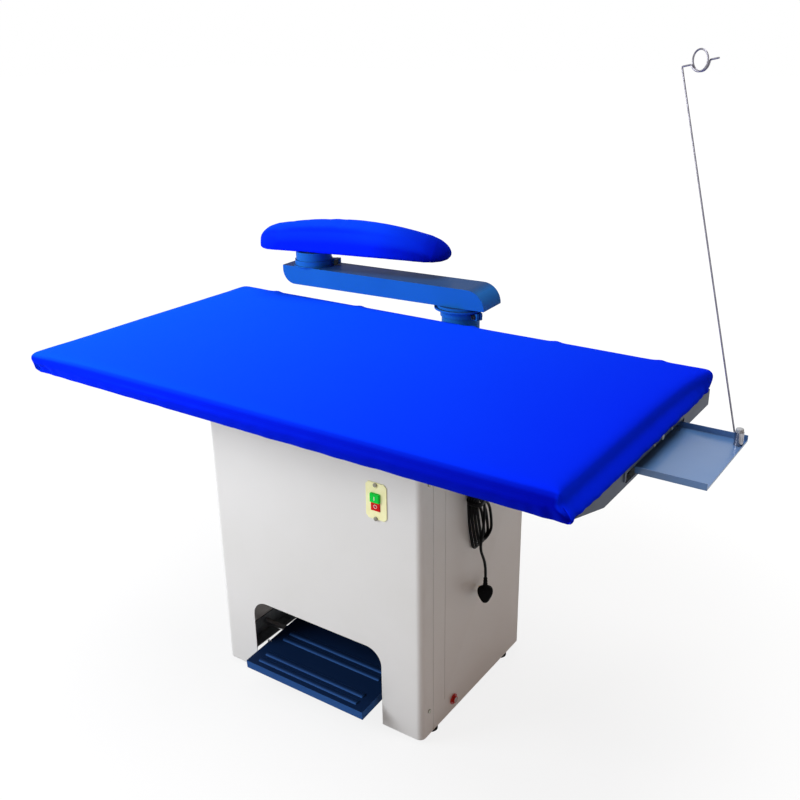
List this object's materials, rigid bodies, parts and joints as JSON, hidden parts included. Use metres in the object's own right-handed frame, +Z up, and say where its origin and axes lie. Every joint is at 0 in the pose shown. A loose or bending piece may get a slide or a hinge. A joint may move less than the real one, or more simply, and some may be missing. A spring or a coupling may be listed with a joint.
{
  "type": "vacuum ironing table",
  "caption": "Padded suction ironing board on a sheet-metal cabinet, with a foot pedal, a swivelling sleeve buck on a side arm, a sliding iron tray and a sprung cord rod.",
  "frame": {"origin": "on the floor under the centre of the cabinet's four feet", "axes": "+X along the board towards the iron tray, +Y to the back where the post stands, +Z up"},
  "size_m": [1.641, 1, 1.5779],
  "materials": {
    "blue_cloth": "dyed woven nylon, fine weave",
    "foam": "open-cell silicone foam felt",
    "white_paint": "light grey powder coat",
    "blue_paint": "blue hammer-free powder coat, semi gloss",
    "pedal_paint": "dark navy enamel",
    "tub_steel": "grey-blue primer paint",
    "zinc_sheet": "galvanised sheet",
    "zinc": "yellow-white zinc plate",
    "chrome": "polished chrome",
    "steel": "plain turned steel",
    "cast": "painted grey iron",
    "alu": "spun aluminium",
    "bronze": "sintered bronze",
    "black_rubber": "matt black rubber",
    "black_plastic": "moulded black PVC",
    "cream_plastic": "cream moulded plastic",
    "green_plastic": "glossy green",
    "red_plastic": "glossy red",
    "red_steel": "red dipped steel cap",
    "grey_plastic": "light grey plastic",
    "brass": "bright brass pins"
  },
  "bodies": {
    "cabinet": {"board_cover": "blue_cloth", "foam_pad": "foam", "perforated_deck": "zinc_sheet", "deck_bolts": "zinc", "suction_tub": "tub_steel", "tray_bay": "zinc_sheet", "slot_bolts": "zinc", "front_panel": "white_paint", "left_side_panel": "white_paint", "right_side_panel": "white_paint", "rear_panel": "white_paint", "base_frame": "cast", "top_frame": "cast", "rubber_feet": "black_rubber", "panel_screws": "zinc", "pedal_axle": "steel", "pivot_caps": "red_steel", "suction_duct": "zinc_sheet", "branch_duct": "white_paint", "fan_housing": "zinc_sheet", "motor_body": "cast", "fan_shelf": "zinc_sheet", "post_pipe": "blue_paint", "post_clamp": "blue_paint", "post_bracket": "blue_paint", "steel_bolts": "zinc", "switch_plate": "cream_plastic", "switch_body": "black_plastic", "cord_inlet": "black_plastic", "cord_hook": "zinc", "cord_drop": "black_rubber", "cord_hank": "black_rubber", "cord_tail": "black_rubber", "plug": "black_plastic", "plug_pins": "brass"},
    "arm": {"arm_body": "blue_paint", "arm_collar": "blue_paint", "neck_socket": "blue_paint", "neck_bolts": "zinc"},
    "buck": {"neck_pipe": "blue_paint", "buck_base": "zinc_sheet", "buck_pad": "foam", "buck_cover": "blue_cloth", "buck_bolts": "zinc"},
    "pedal": {"pedal_plate": "pedal_paint", "pedal_bushes": "bronze", "pedal_spring": "chrome"},
    "linkage": {"pull_rod": "steel"},
    "damper": {"damper_flap": "zinc_sheet", "damper_spindle": "steel"},
    "fan": {"impeller": "alu", "motor_shaft": "steel"},
    "start_button": {"green_button": "green_plastic"},
    "stop_button": {"red_button": "red_plastic"},
    "tray": {"iron_tray": "blue_paint", "sleeve_pin": "steel"},
    "rod": {"rod_sleeve": "chrome", "sleeve_knob": "grey_plastic", "balance_rod": "chrome"}
  },
  "joints": [
    {"name": "arm_swing", "type": "hinge", "parent": "cabinet", "child": "arm", "pos_m": [0, 0.45, 0.9], "axis": [0, 0, 1], "range_deg": [-80, 100]},
    {"name": "buck_swivel", "type": "hinge", "parent": "arm", "child": "buck", "pos_m": [-0.50296, 0.42276, 0.98], "axis": [0, 0, 1], "range_deg": [-180, 180]},
    {"name": "pedal_press", "type": "hinge", "parent": "cabinet", "child": "pedal", "pos_m": [0, -0.1, 0.0437], "axis": [1, 0, 0], "range_deg": [0, 12], "stiffness_Nm_per_rad": 14, "springref_deg": -20.05},
    {"name": "pull_rod_lift", "type": "slide", "parent": "cabinet", "child": "linkage", "axis": [0, 0, 1], "range_m": [0, 0.018]},
    {"name": "damper_turn", "type": "hinge", "parent": "cabinet", "child": "damper", "pos_m": [0, 0, 0.7], "axis": [1, 0, 0], "range_deg": [-61, 0]},
    {"name": "fan_spin", "type": "hinge", "parent": "cabinet", "child": "fan", "pos_m": [0, 0, 0.47], "axis": [0, 0, 1], "continuous": true},
    {"name": "start_press", "type": "slide", "parent": "cabinet", "child": "start_button", "axis": [0, 1, 0], "range_m": [0, 0.004]},
    {"name": "stop_press", "type": "slide", "parent": "cabinet", "child": "stop_button", "axis": [0, 1, 0], "range_m": [-0.004, 0]},
    {"name": "tray_slide", "type": "slide", "parent": "cabinet", "child": "tray", "axis": [1, 0, 0], "range_m": [-0.09, 0]},
    {"name": "rod_turn", "type": "hinge", "parent": "tray", "child": "rod", "pos_m": [0.868, 0.16, 0.8], "axis": [0, 0, 1], "range_deg": [-120, 120]}
  ],
  "couplings": [
    {"joint": "pull_rod_lift", "follows": "pedal_press", "m_per_rad": 0.084034},
    {"joint": "damper_turn", "follows": "pedal_press", "ratio": -5},
    {"joint": "stop_press", "follows": "start_press", "ratio": -1}
  ]
}
